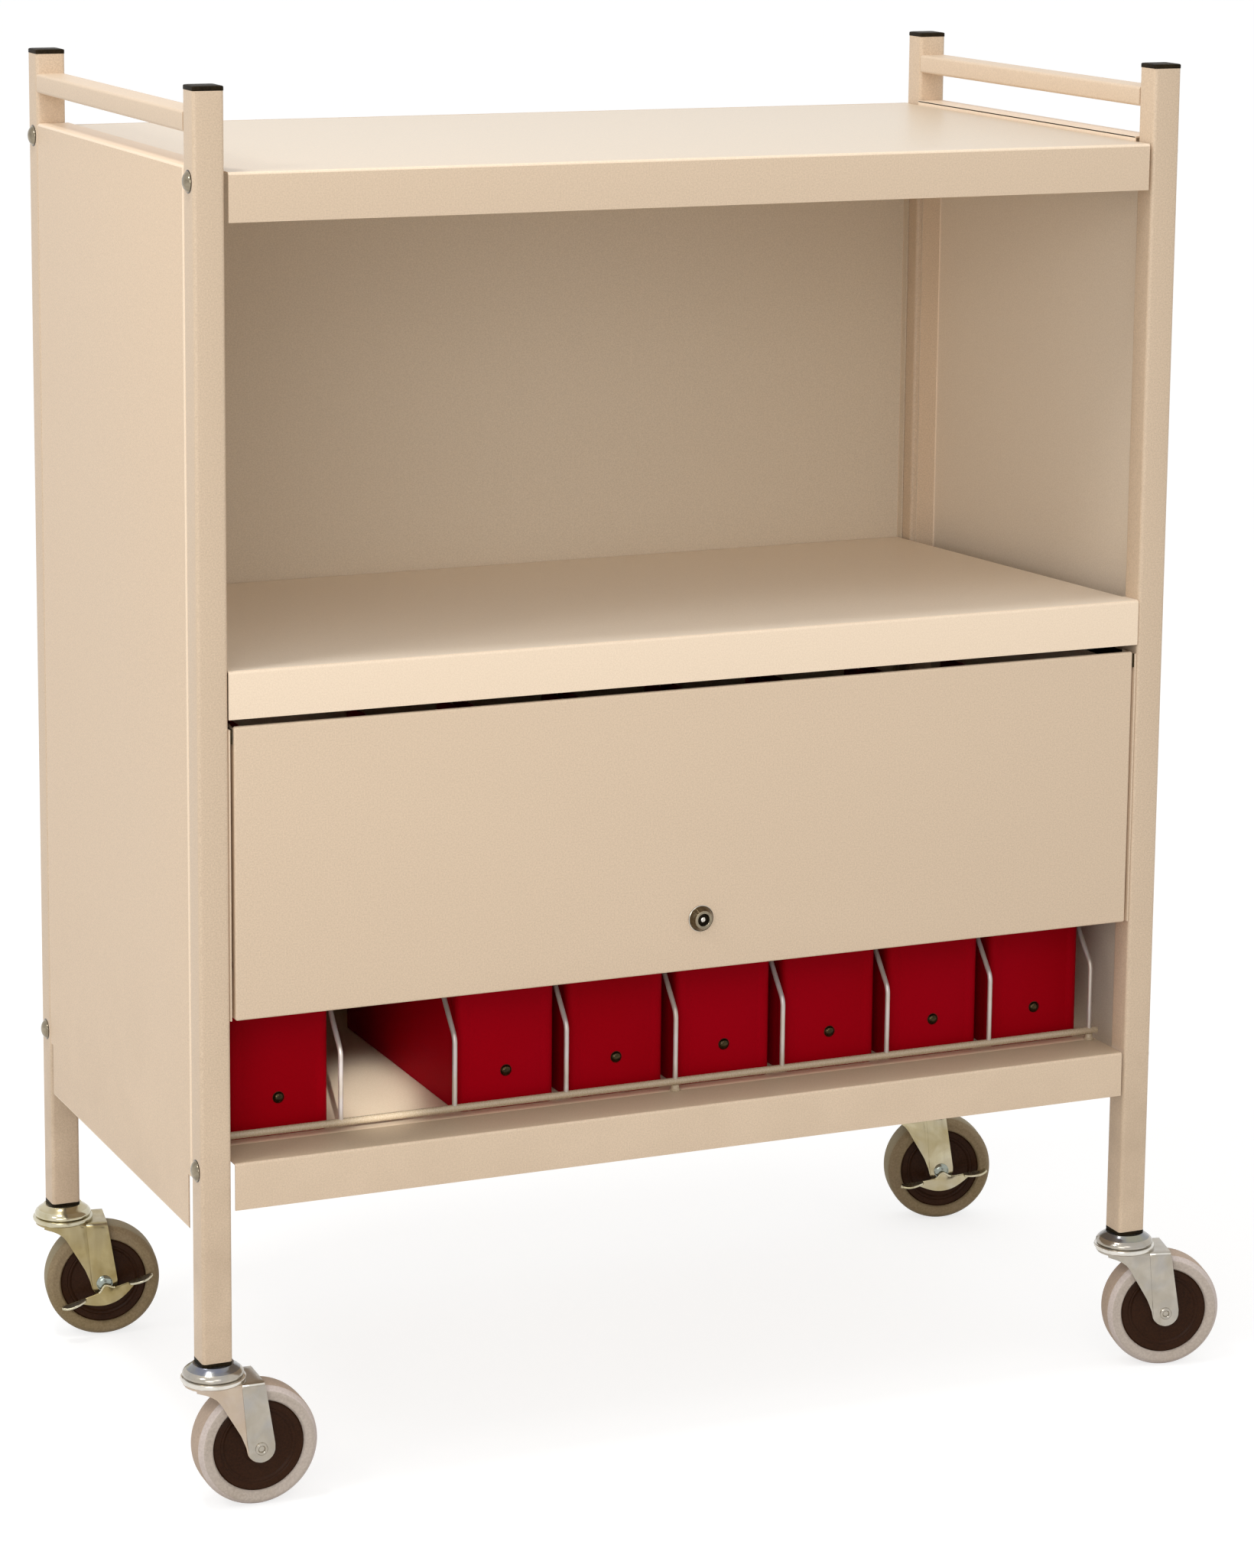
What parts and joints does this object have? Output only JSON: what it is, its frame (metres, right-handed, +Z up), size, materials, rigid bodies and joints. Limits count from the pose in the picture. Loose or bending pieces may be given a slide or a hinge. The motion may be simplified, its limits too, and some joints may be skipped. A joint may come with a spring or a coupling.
{
  "type": "mobile medical chart rack",
  "caption": "Beige steel chart rack on swivel casters, with an open bay over a locking lift-up door and red binders between wire dividers.",
  "frame": {"origin": "on the floor, below the centre of the bounding box", "axes": "+X to the right seen from the front, +Y from the door to the back panel, +Z up"},
  "size_m": [0.9544, 0.4858, 1.15],
  "materials": {
    "powder_coat": "beige powder coat, fine orange peel",
    "wire_coat": "beige coated wire",
    "black_plastic": "moulded, slightly worn",
    "zinc_plate": "zinc plated, faint yellow passivation",
    "lock_chrome": "polished",
    "grey_rubber": "matt, non-marking",
    "brown_core": "moulded, turned rings",
    "red_vinyl": "grained binder cover"
  },
  "bodies": {
    "frame": {"front_left_post": "powder_coat", "front_left_post_cap": "black_plastic", "front_right_post": "powder_coat", "front_right_post_cap": "black_plastic", "rear_left_post": "powder_coat", "rear_left_post_cap": "black_plastic", "rear_right_post": "powder_coat", "rear_right_post_cap": "black_plastic", "left_top_rail": "powder_coat", "right_top_rail": "powder_coat", "top_shelf": "powder_coat", "middle_shelf": "powder_coat", "bottom_shelf": "powder_coat", "left_side_panel": "powder_coat", "right_side_panel": "powder_coat", "back_panel": "powder_coat", "left_door_track": "powder_coat", "right_door_track": "powder_coat", "rack_front_rod": "wire_coat", "rack_rear_rod": "wire_coat", "divider_1": "wire_coat", "divider_2": "wire_coat", "divider_3": "wire_coat", "divider_4": "wire_coat", "divider_5": "wire_coat", "divider_6": "wire_coat", "divider_7": "wire_coat", "divider_8": "wire_coat", "divider_9": "wire_coat", "chart_binder_1": "red_vinyl", "chart_binder_2": "red_vinyl", "chart_binder_3": "red_vinyl", "chart_binder_4": "red_vinyl", "chart_binder_5": "red_vinyl", "chart_binder_6": "red_vinyl", "chart_binder_7": "red_vinyl", "front_left_caster_stem": "zinc_plate", "front_right_caster_stem": "zinc_plate", "rear_left_caster_stem": "zinc_plate", "rear_right_caster_stem": "zinc_plate"},
    "door_carriage": {"door_pivot_rod": "zinc_plate"},
    "door": {"door_panel": "powder_coat", "lock_body": "lock_chrome"},
    "lock_cylinder": {"lock_plug": "lock_chrome"},
    "left_bolt": {"left_lock_rod": "zinc_plate"},
    "right_bolt": {"right_lock_rod": "zinc_plate"},
    "front_left_swivel": {"front_left_fork": "zinc_plate"},
    "front_left_wheel": {"front_left_wheel_hub": "brown_core", "front_left_tyre": "grey_rubber"},
    "front_right_swivel": {"front_right_fork": "zinc_plate"},
    "front_right_wheel": {"front_right_wheel_hub": "brown_core", "front_right_tyre": "grey_rubber"},
    "rear_left_swivel": {"rear_left_fork": "zinc_plate"},
    "rear_left_wheel": {"rear_left_wheel_hub": "brown_core", "rear_left_tyre": "grey_rubber"},
    "rear_left_brake": {"rear_left_brake_pedal": "zinc_plate"},
    "rear_right_swivel": {"rear_right_fork": "zinc_plate"},
    "rear_right_wheel": {"rear_right_wheel_hub": "brown_core", "rear_right_tyre": "grey_rubber"},
    "rear_right_brake": {"rear_right_brake_pedal": "zinc_plate"}
  },
  "joints": [
    {"name": "door_recess", "type": "slide", "parent": "frame", "child": "door_carriage", "axis": [0, 1, 0], "range_m": [0, 0.15]},
    {"name": "door_flip", "type": "hinge", "parent": "door_carriage", "child": "door", "pos_m": [-0.02989, -0.21144, 0.639], "axis": [-1, 0, 0], "range_deg": [0, 90]},
    {"name": "lock_turn", "type": "hinge", "parent": "door", "child": "lock_cylinder", "pos_m": [-0.02989, -0.21944, 0.452], "axis": [0, -1, 0], "range_deg": [0, 90]},
    {"name": "left_bolt_slide", "type": "slide", "parent": "door", "child": "left_bolt", "axis": [-1, 0, 0], "range_m": [0, 0.0055]},
    {"name": "right_bolt_slide", "type": "slide", "parent": "door", "child": "right_bolt", "axis": [1, 0, 0], "range_m": [0, 0.0055]},
    {"name": "front_left_caster_swivel", "type": "hinge", "parent": "frame", "child": "front_left_swivel", "pos_m": [-0.45219, -0.20674, 0.107], "axis": [0, 0, 1], "continuous": true},
    {"name": "front_left_wheel_spin", "type": "hinge", "parent": "front_left_swivel", "child": "front_left_wheel", "pos_m": [-0.41821, -0.20793, 0.0508], "axis": [0.0349, 0.9994, 0], "continuous": true},
    {"name": "front_right_caster_swivel", "type": "hinge", "parent": "frame", "child": "front_right_swivel", "pos_m": [0.39241, -0.20674, 0.107], "axis": [0, 0, 1], "continuous": true},
    {"name": "front_right_wheel_spin", "type": "hinge", "parent": "front_right_swivel", "child": "front_right_wheel", "pos_m": [0.42525, -0.21554, 0.0508], "axis": [0.2588, 0.9659, 0], "continuous": true},
    {"name": "rear_left_caster_swivel", "type": "hinge", "parent": "frame", "child": "rear_left_swivel", "pos_m": [-0.45219, 0.21786, 0.107], "axis": [0, 0, 1], "continuous": true},
    {"name": "rear_left_wheel_spin", "type": "hinge", "parent": "rear_left_swivel", "child": "rear_left_wheel", "pos_m": [-0.4187, 0.21195, 0.0508], "axis": [0.1736, 0.9848, 0], "continuous": true},
    {"name": "rear_left_brake_rock", "type": "hinge", "parent": "rear_left_swivel", "child": "rear_left_brake", "pos_m": [-0.4187, 0.21195, 0.0508], "axis": [-0.1736, -0.9848, 0], "range_deg": [-36, 0]},
    {"name": "rear_right_caster_swivel", "type": "hinge", "parent": "frame", "child": "rear_right_swivel", "pos_m": [0.39241, 0.21786, 0.107], "axis": [0, 0, 1], "continuous": true},
    {"name": "rear_right_wheel_spin", "type": "hinge", "parent": "rear_right_swivel", "child": "rear_right_wheel", "pos_m": [0.42525, 0.20906, 0.0508], "axis": [0.2588, 0.9659, 0], "continuous": true},
    {"name": "rear_right_brake_rock", "type": "hinge", "parent": "rear_right_swivel", "child": "rear_right_brake", "pos_m": [0.42525, 0.20906, 0.0508], "axis": [-0.2588, -0.9659, 0], "range_deg": [-26.5, 9.5]}
  ],
  "couplings": [
    {"joint": "door_recess", "follows": "door_flip", "m_per_rad": 0.095492},
    {"joint": "lock_turn", "follows": "left_bolt_slide", "rad_per_m": 285.6},
    {"joint": "right_bolt_slide", "follows": "left_bolt_slide", "ratio": 1}
  ]
}
